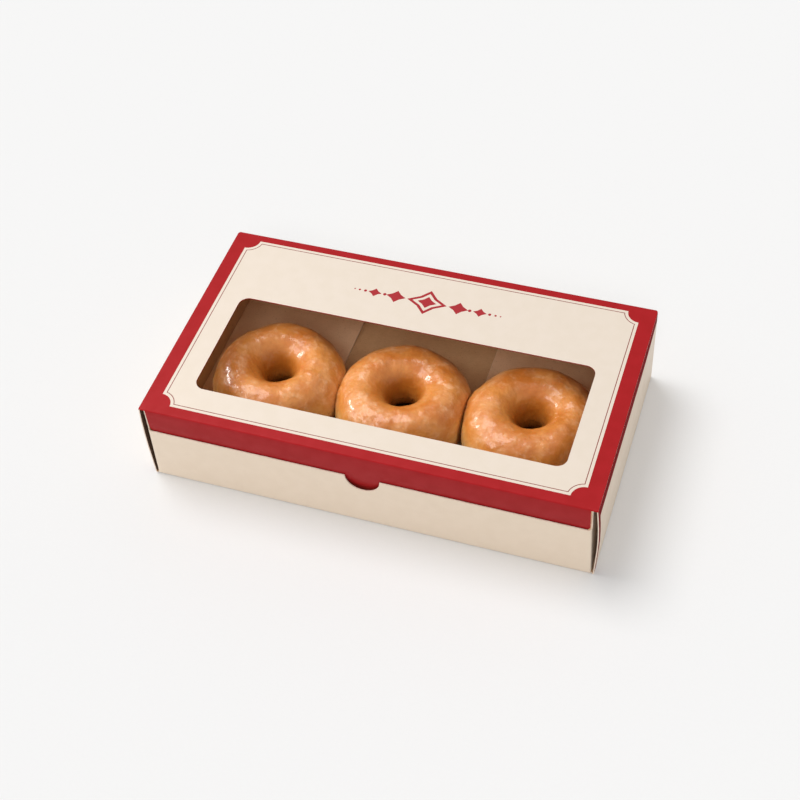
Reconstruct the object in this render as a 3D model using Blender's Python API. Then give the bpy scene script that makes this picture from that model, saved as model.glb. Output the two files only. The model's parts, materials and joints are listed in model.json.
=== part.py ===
"""Bakery carton of ring doughnuts: a folded board tray, its windowed lid and the doughnuts in it.

Metres, +Z up, X along the carton, -Y its front. The origin is the middle of the tray's underside.
The lid turns on the crease along the tray's rear top edge.
"""

import math

import bpy

MM = 0.001

# Carton, outside sizes
LENGTH = 280 * MM
DEPTH = 160 * MM
HEIGHT = 61 * MM
BOARD = 0.7 * MM
GAP = 0.3 * MM
FOLD_RADIUS = 1.0 * MM

# Side walls swell outwards towards their free front edge
WALL_BULGE = 1.5 * MM
WALL_PEAK = 0.55
BULGE_END = 60 * MM
BULGE_STATIONS = 7
WALL_STEPS = 8

# Front wall and the flaps that turn in from its ends
FRONT_HEIGHT = 41.3 * MM
FRONT_HALF_TOP = 137.2 * MM
FRONT_HALF_BASE = 138.9 * MM
FRONT_FILLET = 1.5 * MM
NOTCH_RADIUS = 10.8 * MM
FLAP_DEPTH = 34 * MM
FLAP_CUT = 6 * MM

# Floor flaps, seen from inside: each ends at its own place
LEFT_FLOOR_END = -55.0 * MM
RIGHT_FLOOR_END = 38.5 * MM
FLOOR_FLAP_CLEAR = 1.4 * MM

# Lid
WINDOW_HALF = 115 * MM
WINDOW_REAR = 24.0 * MM
WINDOW_FRONT = -55.2 * MM
WINDOW_CORNER = 6.5 * MM
LID_REAR_CORNER = 2.0 * MM
LID_FRONT_CORNER = 0.8 * MM
TUCK_HALF = 136.0 * MM
TUCK_HALF_LOW = 133.5 * MM
TUCK_LENGTH = 36 * MM
TUCK_LEAN = 1.15 * MM
TUCK_LEAN_POWER = 2.1
TUCK_CORNER = 12 * MM
TUCK_STEPS = 12
SHOULDER_DROP = 0.7 * MM

# Doughnuts from left to right: (name, centre x, centre y, outer radius, hole radius, height,
# unevenness phase)
DOUGHNUTS = (
    ("doughnut_left", -83.6 * MM, -2.6 * MM, 41.1 * MM, 10.0 * MM, 35.2 * MM, 0.4),
    ("doughnut_middle", -1.0 * MM, 0.4 * MM, 41.6 * MM, 10.6 * MM, 35.2 * MM, 2.1),
    ("doughnut_right", 82.9 * MM, 2.4 * MM, 41.7 * MM, 10.4 * MM, 35.0 * MM, 4.4),
)
RING_STEPS = 48
TUBE_STEPS = 20
CREST_SHARE = 0.5
WAIST_SHARE = 0.46
ROUNDNESS = 2.15
BASE_FLAT = 0.06
UNEVEN = 0.008
TOP_SWELL = 0.015
RIM_WOBBLE = 0.02
PRESSED_GAP = 0.4 * MM

WALL_TOP = HEIGHT - BOARD - GAP
HINGE_Y = DEPTH / 2 - BOARD / 2
HINGE_Z = HEIGHT - BOARD / 2

PRINT_CREAM = (0.78, 0.68, 0.56)
PRINT_RED = (0.45, 0.05, 0.05)
CRUST = (0.62, 0.27, 0.08)


def clear_scene():
    """Removes whatever the scene holds."""
    for obj in list(bpy.data.objects):
        bpy.data.objects.remove(obj, do_unlink=True)


def material(name, colour, roughness):
    """A Principled material of one colour."""
    finish = bpy.data.materials.new(name)
    finish.use_nodes = True
    shader = finish.node_tree.nodes["Principled BSDF"]
    shader.inputs["Base Color"].default_value = (*colour, 1)
    shader.inputs["Roughness"].default_value = roughness
    shader.inputs["Metallic"].default_value = 0
    return finish


def solid(name, points, faces):
    """An object with this mesh, at the origin."""
    mesh = bpy.data.meshes.new(name)
    mesh.from_pydata(points, [], faces)
    mesh.validate()
    obj = bpy.data.objects.new(name, mesh)
    bpy.context.scene.collection.objects.link(obj)
    return obj


def loft(name, rings, closed=False):
    """A solid through closed rings of equal count, in order, its ends capped or joined up."""
    count = len(rings[0])
    points = [point for ring in rings for point in ring]
    spans = len(rings) if closed else len(rings) - 1
    faces = []
    for station in range(spans):
        low = station * count
        high = (station + 1) % len(rings) * count
        for step in range(count):
            after = (step + 1) % count
            faces.append((low + step, low + after, high + after, high + step))
    if not closed:
        faces.append(tuple(reversed(range(count))))
        faces.append(tuple((len(rings) - 1) * count + step for step in range(count)))
    return solid(name, points, faces)


def prism(name, outline, axis, low, high):
    """Extrudes an outline of coordinate pairs along an axis, the outline running
    counter-clockwise as seen from that axis's positive end."""
    place = {
        "X": lambda a, b, c: (c, a, b),
        "Y": lambda a, b, c: (b, c, a),
        "Z": lambda a, b, c: (a, b, c),
    }[axis]
    rings = [[place(a, b, level) for a, b in outline] for level in (low, high)]
    return loft(name, rings)


def arc(centre, radius, start, end, steps):
    """Points along an arc, angles in degrees."""
    return [
        (
            centre[0] + radius * math.cos(math.radians(start + (end - start) * step / steps)),
            centre[1] + radius * math.sin(math.radians(start + (end - start) * step / steps)),
        )
        for step in range(steps + 1)
    ]


def rounded_rectangle(low, high, front_radius, rear_radius, steps):
    """A counter-clockwise outline; the front corners are those with the smaller second value."""
    (x0, y0), (x1, y1) = low, high
    return [
        *arc((x0 + front_radius, y0 + front_radius), front_radius, 180, 270, steps),
        *arc((x1 - front_radius, y0 + front_radius), front_radius, 270, 360, steps),
        *arc((x1 - rear_radius, y1 - rear_radius), rear_radius, 0, 90, steps),
        *arc((x0 + rear_radius, y1 - rear_radius), rear_radius, 90, 180, steps),
    ]


def combine(base, helper, operation, solver="EXACT"):
    """Adds a Boolean to the base and hides its helper."""
    cut = base.modifiers.new(helper.name, "BOOLEAN")
    cut.operation = operation
    cut.solver = solver
    cut.object = helper
    helper.hide_render = True
    helper.display_type = "WIRE"


def bulge(y, z):
    """How far a side wall stands out of its plane: most near its free front edge."""
    along = max((BULGE_END - y) / (BULGE_END + DEPTH / 2), 0)
    share = min(max(z / WALL_TOP, 0), 1) ** (math.log(0.5) / math.log(WALL_PEAK))
    return WALL_BULGE * along**1.5 * math.sin(math.pi * share)


def trough_ring(y):
    """Section of the floor and the side walls at y: right wall up, then back down inside."""
    heights = [FOLD_RADIUS + (WALL_TOP - FOLD_RADIUS) * step / WALL_STEPS for step in range(WALL_STEPS + 1)]
    floor_corner = (LENGTH / 2 - FOLD_RADIUS, FOLD_RADIUS)
    outer_right = arc(floor_corner, FOLD_RADIUS, 270, 360, 3)[:-1]
    outer_right += [(LENGTH / 2 + bulge(y, z), z) for z in heights]
    inner_right = [(LENGTH / 2 - BOARD + bulge(y, z), z) for z in reversed(heights)]
    inner_right += arc(floor_corner, FOLD_RADIUS - BOARD, 360, 270, 3)[1:]
    mirrored_inner = [(-x, z) for x, z in reversed(inner_right)]
    mirrored_outer = [(-x, z) for x, z in reversed(outer_right)]
    return [(x, y, z) for x, z in outer_right + inner_right + mirrored_inner + mirrored_outer]


def make_trough():
    """The floor and both side walls, open at the front and the rear."""
    swollen = BULGE_END + DEPTH / 2
    stations = [-DEPTH / 2 + swollen * step / BULGE_STATIONS for step in range(BULGE_STATIONS)]
    stations += [BULGE_END, DEPTH / 2 - FOLD_RADIUS]
    return loft("tray", [trough_ring(y) for y in reversed(stations)])


def make_rear_wall():
    """The rear wall with its two folded corners, which lap over the side walls' ends."""
    reach = DEPTH / 2 - 3 * FOLD_RADIUS
    right = (LENGTH / 2 - FOLD_RADIUS, DEPTH / 2 - FOLD_RADIUS)
    left = (-right[0], right[1])
    inside = FOLD_RADIUS - BOARD
    outline = [
        (LENGTH / 2 - BOARD, reach),
        (LENGTH / 2, reach),
        *arc(right, FOLD_RADIUS, 0, 90, 4),
        *arc(left, FOLD_RADIUS, 90, 180, 4),
        (-LENGTH / 2, reach),
        (-LENGTH / 2 + BOARD, reach),
        *arc(left, inside, 180, 90, 3),
        *arc(right, inside, 90, 0, 3),
    ]
    return prism("rear_wall", outline, "Z", 0, WALL_TOP)


def fold_half(z):
    """Half the front wall's length at a height: it narrows upwards to the top edge."""
    return FRONT_HALF_TOP + (FRONT_HALF_BASE - FRONT_HALF_TOP) * max(1 - z / FRONT_HEIGHT, 0)


def make_front_wall():
    """The low front wall with its thumb notch, as (z, x) pairs for a prism along Y."""
    strip = FRONT_HALF_TOP - BOARD
    fillet = (FRONT_HEIGHT + FRONT_FILLET, strip - FRONT_FILLET)
    right_end = [(0, fold_half(0)), (FRONT_HEIGHT, FRONT_HALF_TOP), (fillet[0], FRONT_HALF_TOP)]
    right_fillet = arc(fillet, FRONT_FILLET, 90, 180, 4)
    notch = arc((FRONT_HEIGHT, 0), NOTCH_RADIUS, 90, 270, 16)
    left_fillet = [(z, -x) for z, x in reversed(right_fillet)]
    left_end = [(z, -x) for z, x in reversed(right_end)]
    outline = right_end + right_fillet + notch + left_fillet + left_end
    return prism("front_wall", list(reversed(outline)), "Y", -DEPTH / 2, -DEPTH / 2 + BOARD)


def make_corner_flap(side):
    """A full-height flap that runs back from an end of the front wall, inside the side wall."""
    bottom = 2 * BOARD + GAP
    levels = [bottom, FLAP_CUT, FRONT_HEIGHT, WALL_TOP - FLAP_CUT, WALL_TOP]
    front = -DEPTH / 2
    cuts = [FLAP_CUT, 0, 0, 0, FLAP_CUT]
    rings = []
    for z, cut in zip(levels, cuts):
        outer = fold_half(z)
        rear = front + FLAP_DEPTH - cut
        ring = [(outer - BOARD, front, z), (outer, front, z), (outer, rear, z), (outer - BOARD, rear, z)]
        rings.append([(side * x, y, z) for x, y, z in (ring if side > 0 else reversed(ring))])
    return loft("corner_flap_right" if side > 0 else "corner_flap_left", rings)


def make_floor_flap(name, wall_end, free_end):
    """A flap lying on the floor, from a side wall to its free end."""
    low, high = sorted((wall_end, free_end))
    half = DEPTH / 2 - FLOOR_FLAP_CLEAR
    outline = [(low, -half), (high, -half), (high, half), (low, half)]
    return prism(name, outline, "Z", BOARD / 2, 2 * BOARD)


def make_tray():
    """The tray, one folded solid. Its panels are flush with each other, which takes MANIFOLD."""
    tray = make_trough()
    wall = LENGTH / 2 - BOARD / 2
    helpers = [
        make_rear_wall(),
        make_front_wall(),
        make_corner_flap(1),
        make_corner_flap(-1),
        make_floor_flap("floor_flap_left", -wall, LEFT_FLOOR_END),
        make_floor_flap("floor_flap_right", wall, RIGHT_FLOOR_END),
    ]
    for helper in helpers:
        combine(tray, helper, "UNION", "MANIFOLD")
    tray.data.materials.append(material("cream_board", PRINT_CREAM, 0.6))
    return tray


def tuck_lean(drop):
    """How far the tuck flap stands behind the front face at a distance below the lid's top.
    Its end follows an arc about the hinge, so that it clears the front wall as the lid opens."""
    return TUCK_LEAN * (drop / (HEIGHT - FRONT_HEIGHT)) ** TUCK_LEAN_POWER


def lid_profile():
    """The lid's section as (y, z): rear bead, top, front fold, tuck flap and back inside."""
    bead = arc((HINGE_Y, HINGE_Z), BOARD / 2, -90, 90, 6)
    fold = (-DEPTH / 2 + FOLD_RADIUS, HEIGHT - FOLD_RADIUS)
    drops = [
        FOLD_RADIUS + (TUCK_LENGTH - FOLD_RADIUS) * (step / TUCK_STEPS) for step in range(1, TUCK_STEPS + 1)
    ]
    outer = [(-DEPTH / 2 + tuck_lean(drop), HEIGHT - drop) for drop in drops]
    inner = [(y + BOARD, z) for y, z in reversed(outer)]
    outer_fold = arc(fold, FOLD_RADIUS, 90, 180, 3)
    inner_fold = arc(fold, FOLD_RADIUS - BOARD, 180, 90, 3)
    return bead + outer_fold + outer + inner + inner_fold


def make_lid():
    """The lid with its window and tuck flap, drawn about its hinge."""
    lid = prism("lid", lid_profile(), "X", -LENGTH / 2, LENGTH / 2)
    over = 4 * MM
    shoulder = HEIGHT - SHOULDER_DROP
    tip = HEIGHT - TUCK_LENGTH
    corner = (tip - over / 2 + TUCK_CORNER, TUCK_HALF_LOW - TUCK_CORNER)
    right = [
        *arc(corner, TUCK_CORNER, 180, 90, 6),
        (FRONT_HEIGHT - 3 * MM, TUCK_HALF_LOW),
        (FRONT_HEIGHT + 2 * MM, TUCK_HALF),
        (shoulder, TUCK_HALF),
        (shoulder, LENGTH / 2 + over),
        (HEIGHT + over, LENGTH / 2 + over),
    ]
    left = [(z, -x) for z, x in reversed(right)]
    combine(lid, prism("lid_front_outline", list(reversed(right + left)), "Y", -DEPTH, DEPTH), "INTERSECT")
    plan = rounded_rectangle(
        (-LENGTH / 2, -DEPTH / 2 - over),
        (LENGTH / 2, DEPTH / 2),
        LID_FRONT_CORNER,
        LID_REAR_CORNER,
        4,
    )
    combine(lid, prism("lid_plan", plan, "Z", 0, HEIGHT + over), "INTERSECT")
    window = rounded_rectangle(
        (-WINDOW_HALF, WINDOW_FRONT),
        (WINDOW_HALF, WINDOW_REAR),
        WINDOW_CORNER,
        WINDOW_CORNER,
        6,
    )
    combine(lid, prism("window", window, "Z", HEIGHT - over, HEIGHT + over), "DIFFERENCE")
    lid.data.materials.append(material("red_and_cream_board", PRINT_RED, 0.55))
    return lid


def hang_on_hinge(lid):
    """Moves the lid's origin, and those of its helpers, onto the crease it turns on."""
    axle = bpy.data.objects.new("lid_crease", None)
    axle.location = (0, HINGE_Y, HINGE_Z)
    bpy.context.scene.collection.objects.link(axle)
    for obj in [lid, *(modifier.object for modifier in lid.modifiers)]:
        for vertex in obj.data.vertices:
            vertex.co.y -= HINGE_Y
            vertex.co.z -= HINGE_Z
        obj.parent = axle


def signed_power(value, power):
    """A power that keeps the sign."""
    return math.copysign(abs(value) ** power, value)


def doughnut_section(turn, angle, radius, hole, height, phase):
    """A point of an uneven ring's section: distance from the centre and height over the base."""
    swell = 1 + UNEVEN * math.cos(2 * angle + phase) + UNEVEN * 0.6 * math.cos(3 * angle - phase)
    rim = hole * (1 + RIM_WOBBLE * math.cos(3 * angle + 2 * phase))
    outer = radius * swell
    crest = rim + CREST_SHARE * (outer - rim)
    top = height * (1 + TOP_SWELL * math.cos(angle - phase) * math.cos(2 * angle) - TOP_SWELL)
    waist = WAIST_SHARE * height
    across = signed_power(math.cos(turn), 2 / ROUNDNESS)
    up = signed_power(math.sin(turn), 2 / ROUNDNESS)
    reach = crest + across * (outer - crest if across > 0 else crest - rim)
    level = waist + up * (top - waist if up > 0 else waist)
    return reach, max(level, BASE_FLAT * height)


def meeting_place(left, right):
    """Where two neighbours in the row press against each other, along X."""
    return (left[1] + left[3] + right[1] - right[3]) / 2


def make_doughnut(doughnut, limits, finish):
    """A ring doughnut on the floor, its underside flat where it rests, its sides pressed flat
    where they would pass the limits along X."""
    name, x, y, radius, hole, height, phase = doughnut
    floor = 2 * BOARD if abs(x) > radius else BOARD
    sink = BASE_FLAT * height
    rings = []
    for step in range(RING_STEPS):
        angle = 2 * math.pi * step / RING_STEPS
        ring = []
        for turn_step in range(TUBE_STEPS):
            turn = 2 * math.pi * turn_step / TUBE_STEPS
            reach, level = doughnut_section(turn, angle, radius, hole, height + sink, phase)
            across = min(max(reach * math.cos(angle), limits[0] - x), limits[1] - x)
            ring.append((across, reach * math.sin(angle), level - sink))
        rings.append(list(reversed(ring)))
    ring_solid = loft(name, rings, closed=True)
    ring_solid.location = (x, y, floor + GAP)
    for polygon in ring_solid.data.polygons:
        polygon.use_smooth = True
    ring_solid.data.materials.append(finish)
    return ring_solid


def main():
    """Builds the carton and what is in it."""
    clear_scene()
    make_tray()
    hang_on_hinge(make_lid())
    crust = material("glazed_crust", CRUST, 0.35)
    meetings = [meeting_place(*pair) for pair in zip(DOUGHNUTS, DOUGHNUTS[1:])]
    lows = [-LENGTH / 2, *(meeting + PRESSED_GAP / 2 for meeting in meetings)]
    highs = [*(meeting - PRESSED_GAP / 2 for meeting in meetings), LENGTH / 2]
    for doughnut, limits in zip(DOUGHNUTS, zip(lows, highs)):
        make_doughnut(doughnut, limits, crust)


main()
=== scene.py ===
"""Looks of a bakery carton with three glazed ring doughnuts in it.

The carton is one folded board: cream print outside, red print on the lid, raw kraft inside. Its lid
has an open die-cut window over the doughnuts. Metres, +Z up, -Y the front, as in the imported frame.
"""

import json
import logging
import math
from dataclasses import dataclass, field
from enum import Enum
from typing import Callable

import bmesh
import bpy
from mathutils import Matrix, Vector, noise


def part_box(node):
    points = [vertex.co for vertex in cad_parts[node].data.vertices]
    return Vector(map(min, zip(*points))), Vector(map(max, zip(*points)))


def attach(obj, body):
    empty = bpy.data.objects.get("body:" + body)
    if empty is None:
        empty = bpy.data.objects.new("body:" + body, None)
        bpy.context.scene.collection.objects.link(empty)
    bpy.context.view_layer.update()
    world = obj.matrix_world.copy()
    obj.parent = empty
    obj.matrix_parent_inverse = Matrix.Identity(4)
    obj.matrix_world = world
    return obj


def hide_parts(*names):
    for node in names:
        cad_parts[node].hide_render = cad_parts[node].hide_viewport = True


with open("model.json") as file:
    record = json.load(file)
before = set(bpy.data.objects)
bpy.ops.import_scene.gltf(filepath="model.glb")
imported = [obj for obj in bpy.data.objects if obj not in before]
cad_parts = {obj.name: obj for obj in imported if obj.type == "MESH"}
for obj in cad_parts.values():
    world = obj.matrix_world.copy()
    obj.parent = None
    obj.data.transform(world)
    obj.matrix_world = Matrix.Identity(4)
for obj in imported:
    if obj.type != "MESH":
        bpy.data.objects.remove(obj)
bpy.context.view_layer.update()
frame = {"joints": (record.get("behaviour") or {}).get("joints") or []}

MM = 0.001
NEAR = 0.02 * MM
FACING = 0.9
BOARD_SMOOTHING = 32
DOUGH_SMOOTHING = 80
MIX_FIRST, MIX_SECOND, MIX_RESULT = 6, 7, 2
LOG = logging.getLogger("doughnut_box")

Colour = tuple[float, float, float]
Place = tuple[float, float, float]
PointTest = Callable[[Vector], bool]
Socket = bpy.types.NodeSocket
Material = bpy.types.Material


class Side(Enum):
    """The carton's two ends, as the sign of X."""

    LEFT = -1
    RIGHT = 1


class Body(Enum):
    """The frame's bodies."""

    CARTON = "carton"
    LID = "lid"


class BoardFace(Enum):
    """Material slots of a folded board. Its inside and its cut edges follow from its print."""

    PRINT = 0
    TRIM = 1
    INSIDE = 2
    TRIM_INSIDE = 3
    CUT = 4
    TRIM_CUT = 5


# Modelling by hand


def close_all() -> None:
    """Leaves edit mode and deselects every object."""
    if bpy.context.mode != "OBJECT":
        bpy.ops.object.mode_set(mode="OBJECT")
    bpy.ops.object.select_all(action="DESELECT")


class Workpiece:
    """One mesh on the bench, shaped with the usual tools."""

    def __init__(self, obj: bpy.types.Object, name: str) -> None:
        """Takes over a new object and fixes its place in its mesh.

        Args:
            obj: the object that an operator has just added.
            name: the piece's name.
        """
        self.obj = obj
        self.obj.name = name
        self.obj.data.name = name
        self.focus()
        bpy.ops.object.transform_apply(location=True, rotation=True, scale=True)

    @classmethod
    def block(cls, name: str, low: Place, high: Place) -> "Workpiece":
        """A cuboid between two corners.

        Args:
            name: the piece's name.
            low: its lowest corner.
            high: its highest corner.

        Returns:
            The new workpiece.
        """
        close_all()
        low_corner, high_corner = Vector(low), Vector(high)
        bpy.ops.mesh.primitive_cube_add(size=1, location=(low_corner + high_corner) / 2)
        bpy.context.object.scale = high_corner - low_corner
        return cls(bpy.context.object, name)

    @classmethod
    def rod(cls, name: str, centre: Place, radius: float, length: float, sides: int) -> "Workpiece":
        """An upright cylinder.

        Args:
            name: the piece's name.
            centre: its middle.
            radius: its radius.
            length: its height.
            sides: how many sides it has.

        Returns:
            The new workpiece.
        """
        close_all()
        bpy.ops.mesh.primitive_cylinder_add(vertices=sides, radius=radius, depth=length, location=centre)
        return cls(bpy.context.object, name)

    def focus(self) -> None:
        """Makes this the only selected object."""
        close_all()
        self.obj.select_set(True)
        bpy.context.view_layer.objects.active = self.obj

    def edit(self) -> None:
        """Opens the mesh in edit mode with nothing selected."""
        self.focus()
        bpy.ops.object.mode_set(mode="EDIT")
        bpy.ops.mesh.select_all(action="DESELECT")

    def pick(self, kind: str, test: PointTest, normal: Place | None = None, rim: bool = False) -> None:
        """Selects vertices, edges or faces whose every corner passes a test.

        Args:
            kind: "VERT", "EDGE" or "FACE".
            test: says whether a corner's place counts.
            normal: for faces, the direction that they have to face.
            rim: for edges, whether only open ones count.
        """
        bpy.ops.mesh.select_mode(type=kind)
        bpy.ops.mesh.select_all(action="DESELECT")
        mesh = bmesh.from_edit_mesh(self.obj.data)
        for item in {"VERT": mesh.verts, "EDGE": mesh.edges, "FACE": mesh.faces}[kind]:
            corners = [item] if kind == "VERT" else item.verts
            if not all(test(corner.co) for corner in corners) or rim and not item.is_boundary:
                continue
            if normal is None or item.normal.dot(Vector(normal)) >= FACING:
                item.select_set(True)
        mesh.select_flush_mode()
        bmesh.update_edit_mesh(self.obj.data)

    def pick_rim(self, test: PointTest) -> None:
        """Selects open edges whose ends both pass a test."""
        self.pick("EDGE", test, rim=True)

    def pick_along(self, axis: int, test: PointTest = lambda place: True) -> None:
        """Selects edges that run along an axis, 0 to 2, and whose ends pass a test.

        Args:
            axis: 0, 1 or 2, for X, Y or Z.
            test: says whether a corner's place counts.
        """
        self.pick("EDGE", test)
        mesh = bmesh.from_edit_mesh(self.obj.data)
        for edge in mesh.edges:
            if edge.select:
                edge.select_set(abs(edge.verts[0].co[axis] - edge.verts[1].co[axis]) > NEAR)
        bmesh.update_edit_mesh(self.obj.data)

    def extrude(self, step: Place) -> None:
        """Extrudes the selected edges or faces by a step."""
        bpy.ops.mesh.extrude_region_move(TRANSFORM_OT_translate={"value": step})

    def move(self, step: Place) -> None:
        """Moves what is selected."""
        bpy.ops.transform.translate(value=step)

    def resize(self, factors: Place, centre: Place) -> None:
        """Scales what is selected about a centre."""
        bpy.ops.transform.resize(value=factors, center_override=centre)

    def spin(self, degrees: float, centre: Place, axis: Place, steps: int) -> None:
        """Spins the selected edges into a fold about an axis."""
        bpy.ops.mesh.spin(steps=steps, angle=math.radians(degrees), center=centre, axis=axis)

    def bevel(self, width: float, segments: int, affect: str = "EDGES") -> None:
        """Rounds the selected edges or corners."""
        bpy.ops.mesh.bevel(offset=width, segments=segments, profile=0.5, affect=affect, clamp_overlap=False)

    def bisect(self, place: Place, normal: Place) -> None:
        """Cuts the selected faces along a plane."""
        bpy.ops.mesh.bisect(plane_co=place, plane_no=normal, threshold=NEAR)

    def delete(self, kind: str) -> None:
        """Deletes the selected parts of this kind."""
        bpy.ops.mesh.delete(type=kind)

    def dress_selected(self, slot: BoardFace) -> None:
        """Gives the selected faces a material slot."""
        self.obj.active_material_index = slot.value
        bpy.ops.object.material_slot_assign()

    def turn_outwards(self, test: PointTest, normal: Place) -> None:
        """Makes an open sheet's faces agree, with the one that passes the test facing the normal.

        Args:
            test: says whether a corner's place counts.
            normal: where a face whose every corner passes has to point.
        """
        self.edit()
        bpy.ops.mesh.select_all(action="SELECT")
        bpy.ops.mesh.remove_doubles(threshold=NEAR)
        bpy.ops.mesh.normals_make_consistent(inside=False)
        mesh = bmesh.from_edit_mesh(self.obj.data)
        known = next(face for face in mesh.faces if all(test(corner.co) for corner in face.verts))
        if known.normal.dot(Vector(normal)) < 0:
            bpy.ops.mesh.flip_normals()
        close_all()

    def group(self, name: str, weigh: Callable[[Vector], float]) -> None:
        """Adds a vertex group whose weights follow a rule on place.

        Args:
            name: the group's name.
            weigh: gives a place its weight.
        """
        close_all()
        group = self.obj.vertex_groups.new(name=name)
        for vertex in self.obj.data.vertices:
            weight = weigh(vertex.co)
            if weight > 0:
                group.add([vertex.index], min(weight, 1.0), "REPLACE")

    def modify(self, kind: str, **settings: object) -> None:
        """Adds a modifier with these settings and applies it.

        Args:
            kind: the modifier's type.
            settings: its settings.
        """
        self.focus()
        modifier = self.obj.modifiers.new(kind.title(), kind)
        for key, value in settings.items():
            setattr(modifier, key, value)
        bpy.ops.object.modifier_apply(modifier=modifier.name)

    def swell(self, group: str, strength: float, level: float = 0, **more: object) -> None:
        """Displaces a vertex group along its normals, or as more settings say."""
        self.modify("DISPLACE", strength=strength, mid_level=level, vertex_group=group, **more)

    def roughen(self, group: str, size: float, depth: int, strength: float, level: float) -> None:
        """Displaces a vertex group by a soft noise.

        Args:
            group: the vertex group.
            size: the size of a blotch, in metres.
            depth: how many finer layers the noise has.
            strength: how high it goes.
            level: the noise's value that stays in place.
        """
        texture = bpy.data.textures.new(f"{self.obj.name}_noise", "CLOUDS")
        texture.noise_scale = size
        texture.noise_depth = depth
        self.swell(group, strength, level, texture=texture, texture_coords="LOCAL")

    def thicken(self, thickness: float, slots: int) -> None:
        """Gives an open sheet its thickness on the inside, in the slots that follow its print's.

        Args:
            thickness: how thick it gets.
            slots: how many slots its print has.
        """
        self.modify(
            "SOLIDIFY",
            thickness=thickness,
            offset=-1,
            use_even_offset=True,
            material_offset=slots,
            material_offset_rim=2 * slots,
        )

    def cut(
        self, cutter: "Workpiece", operation: str = "DIFFERENCE", face: BoardFace = BoardFace.PRINT
    ) -> None:
        """Cuts this with another workpiece, which is used up.

        Args:
            cutter: the solid that cuts.
            operation: the boolean's kind.
            face: the slot that the cut faces take.
        """
        for polygon in cutter.obj.data.polygons:
            polygon.material_index = face.value
        self.modify("BOOLEAN", operation=operation, solver="EXACT", material_mode="INDEX", object=cutter.obj)
        bpy.data.objects.remove(cutter.obj, do_unlink=True)

    def copy(self, name: str) -> "Workpiece":
        """A second workpiece with a mesh of its own.

        Args:
            name: the copy's name.

        Returns:
            The copy.
        """
        self.focus()
        bpy.ops.object.duplicate()
        return Workpiece(bpy.context.object, name)

    def join(self, others: list["Workpiece"]) -> None:
        """Joins other workpieces into this one.

        Args:
            others: what is joined to it and used up.
        """
        self.focus()
        for other in others:
            other.obj.select_set(True)
        bpy.ops.object.join()

    def dress(self, *materials: Material) -> None:
        """Sets the material slots.

        Args:
            materials: the slots' materials in order.
        """
        self.obj.data.materials.clear()
        for material in materials:
            self.obj.data.materials.append(material)

    def smooth(self, degrees: float) -> None:
        """Shades smooth over edges flatter than an angle."""
        self.focus()
        bpy.ops.object.shade_smooth_by_angle(angle=math.radians(degrees))

    def hand_over(self, body: Body, slot: str, replaced: str | None = None) -> None:
        """Fixes the finished piece to a body of the frame and reports it.

        Args:
            body: the body that it rides on.
            slot: the record's material slot; not used.
            replaced: the CAD node that it stands for, if any.
        """
        close_all()
        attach(self.obj, body.value)
        if replaced:
            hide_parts(replaced)
        mesh = self.obj.data
        mesh.calc_loop_triangles()
        spans = zip(*(vertex.co for vertex in mesh.vertices))
        size = " x ".join(f"{(max(span) - min(span)) / MM:.1f}" for span in spans)
        LOG.info("%s: %s mm, %d triangles", self.obj.name, size, len(mesh.loop_triangles))


# Finishes


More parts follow.
